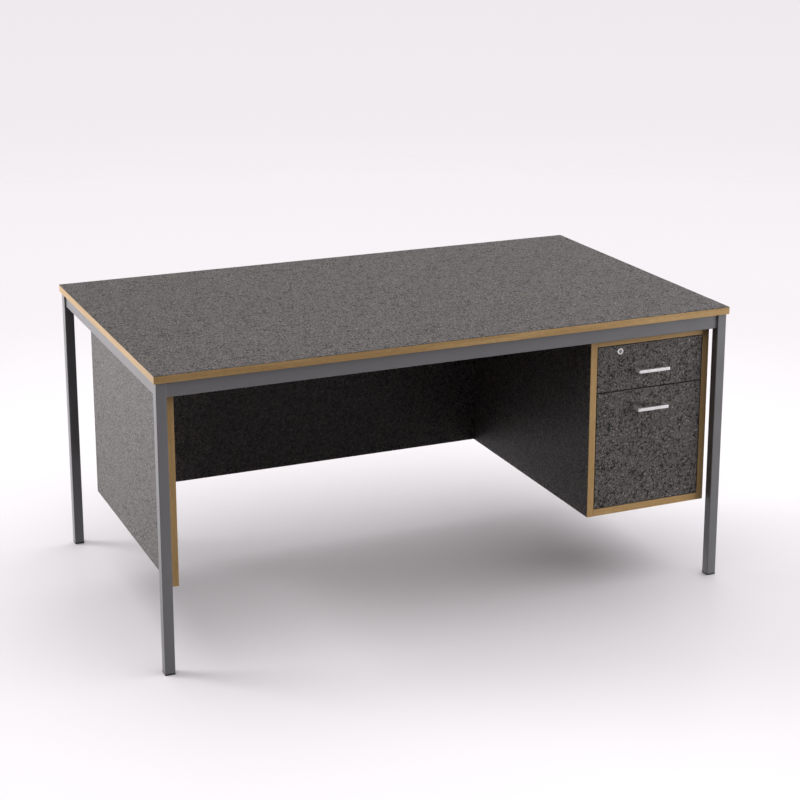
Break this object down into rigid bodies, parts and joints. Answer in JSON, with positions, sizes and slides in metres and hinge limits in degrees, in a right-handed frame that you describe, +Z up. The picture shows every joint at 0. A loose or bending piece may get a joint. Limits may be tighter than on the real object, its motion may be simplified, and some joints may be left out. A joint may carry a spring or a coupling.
{
  "type": "teacher desk",
  "caption": "Teacher desk: laminated worktop with a beech edge on a square-tube steel frame, side and modesty panels, and a locking drawer pedestal.",
  "frame": {"origin": "on the floor, at the centre of the desk's plan", "axes": "+Z up; +X along the worktop's length to the seated user's right, where the pedestal is; the user sits at -Y"},
  "size_m": [1.5, 0.9, 0.725],
  "materials": {
    "laminate": "mottled dark grey high-pressure laminate, matt",
    "beech_edging": "lacquered beech",
    "chipboard": "raw chipboard",
    "frame_paint": "satin slate-grey powder coat",
    "foot_plastic": "moulded, matt",
    "drawer_lining": "beech foil on board",
    "runner_steel": "zinc plated",
    "satin_nickel": "satin nickel plate"
  },
  "bodies": {
    "desk": {"worktop_laminate": "laminate", "side_panel": "laminate", "modesty_panel": "laminate", "pedestal_side_left": "laminate", "pedestal_side_right": "laminate", "pedestal_top": "laminate", "pedestal_bottom": "laminate", "pedestal_back": "laminate", "lipping_front": "beech_edging", "lipping_back": "beech_edging", "lipping_left": "beech_edging", "lipping_right": "beech_edging", "side_panel_edging": "beech_edging", "pedestal_edging_left": "beech_edging", "pedestal_edging_right": "beech_edging", "pedestal_edging_top": "beech_edging", "pedestal_edging_bottom": "beech_edging", "worktop_board": "chipboard", "leg_front_left": "frame_paint", "leg_front_right": "frame_paint", "leg_back_left": "frame_paint", "leg_back_right": "frame_paint", "rail_front": "frame_paint", "rail_back": "frame_paint", "rail_left": "frame_paint", "rail_right": "frame_paint", "fixing_tab_front_left": "frame_paint", "fixing_tab_front_right": "frame_paint", "fixing_tab_back_left": "frame_paint", "fixing_tab_back_right": "frame_paint", "foot_front_left": "foot_plastic", "foot_front_right": "foot_plastic", "foot_back_left": "foot_plastic", "foot_back_right": "foot_plastic", "drawer_top_cabinet_runner_left": "runner_steel", "drawer_top_cabinet_runner_right": "runner_steel", "drawer_bottom_cabinet_runner_left": "runner_steel", "drawer_bottom_cabinet_runner_right": "runner_steel"},
    "drawer_top": {"drawer_top_front": "laminate", "drawer_top_front_edging": "beech_edging", "drawer_top_side_left": "drawer_lining", "drawer_top_side_right": "drawer_lining", "drawer_top_back": "drawer_lining", "drawer_top_base": "drawer_lining", "drawer_top_drawer_runner_left": "runner_steel", "drawer_top_drawer_runner_right": "runner_steel", "drawer_top_handle": "satin_nickel", "lock_housing": "satin_nickel", "lock_nut": "runner_steel"},
    "drawer_bottom": {"drawer_bottom_front": "laminate", "drawer_bottom_front_edging": "beech_edging", "drawer_bottom_side_left": "drawer_lining", "drawer_bottom_side_right": "drawer_lining", "drawer_bottom_back": "drawer_lining", "drawer_bottom_base": "drawer_lining", "drawer_bottom_drawer_runner_left": "runner_steel", "drawer_bottom_drawer_runner_right": "runner_steel", "drawer_bottom_handle": "satin_nickel"},
    "lock": {"lock_plug": "satin_nickel", "lock_cam": "runner_steel"}
  },
  "joints": [
    {"name": "drawer_top_slide", "type": "slide", "parent": "desk", "child": "drawer_top", "axis": [0, -1, 0], "range_m": [0, 0.375]},
    {"name": "drawer_bottom_slide", "type": "slide", "parent": "desk", "child": "drawer_bottom", "axis": [0, -1, 0], "range_m": [0, 0.375]},
    {"name": "lock_turn", "type": "hinge", "parent": "drawer_top", "child": "lock", "pos_m": [0.453, -0.42, 0.635], "axis": [0, 1, 0], "range_deg": [0, 90]}
  ]
}
